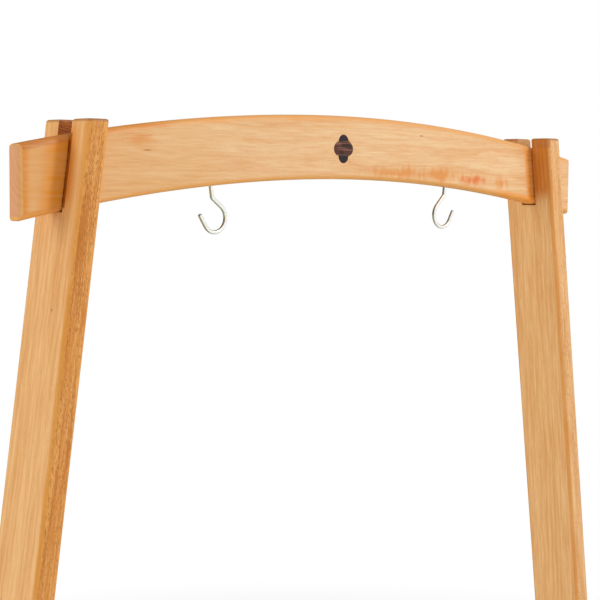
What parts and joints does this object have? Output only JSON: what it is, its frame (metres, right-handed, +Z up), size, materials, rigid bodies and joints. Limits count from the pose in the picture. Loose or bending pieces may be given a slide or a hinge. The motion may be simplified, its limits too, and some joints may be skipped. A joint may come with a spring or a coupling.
{
  "type": "gong stand",
  "caption": "Free-standing wooden stand for a large gong: arched crossbar with screw hooks, dropped into slotted splayed legs on sled feet.",
  "frame": {"origin": "on the floor, under the middle of the crossbar", "axes": "+X along the crossbar to the right seen from the front, +Y to the rear, +Z up"},
  "size_m": [1.3884, 0.56, 1.3],
  "materials": {
    "crossbar_beech": "oiled, fine grain along the bar",
    "frame_beech": "oiled, with short ray flecks",
    "key_beech": "oiled",
    "dowel_beech": "oiled end grain",
    "inlay_rosewood": "satin, dark with reddish stripes",
    "hook_steel": "bright zinc plate",
    "glide_rubber": "matt"
  },
  "bodies": {
    "frame": {"leg_left": "frame_beech", "leg_right": "frame_beech", "foot_left": "frame_beech", "foot_right": "frame_beech", "lower_rail": "frame_beech", "foot_dowel_left_front": "dowel_beech", "foot_dowel_left_rear": "dowel_beech", "foot_dowel_right_front": "dowel_beech", "foot_dowel_right_rear": "dowel_beech", "foot_glide_left_front": "glide_rubber", "foot_glide_left_rear": "glide_rubber", "foot_glide_right_front": "glide_rubber", "foot_glide_right_rear": "glide_rubber"},
    "crossbar": {"crossbar": "crossbar_beech", "crossbar_inlay": "inlay_rosewood", "hook_left": "hook_steel", "hook_right": "hook_steel"},
    "rail_key_left": {"rail_key_left": "key_beech"},
    "rail_key_right": {"rail_key_right": "key_beech"}
  },
  "joints": [
    {"name": "crossbar_lift", "type": "slide", "parent": "frame", "child": "crossbar", "axis": [0, 0, 1], "range_m": [0, 0.14]},
    {"name": "rail_key_left_lift", "type": "slide", "parent": "frame", "child": "rail_key_left", "axis": [0, 0, 1], "range_m": [0, 0.08]},
    {"name": "rail_key_right_lift", "type": "slide", "parent": "frame", "child": "rail_key_right", "axis": [0, 0, 1], "range_m": [0, 0.08]}
  ]
}
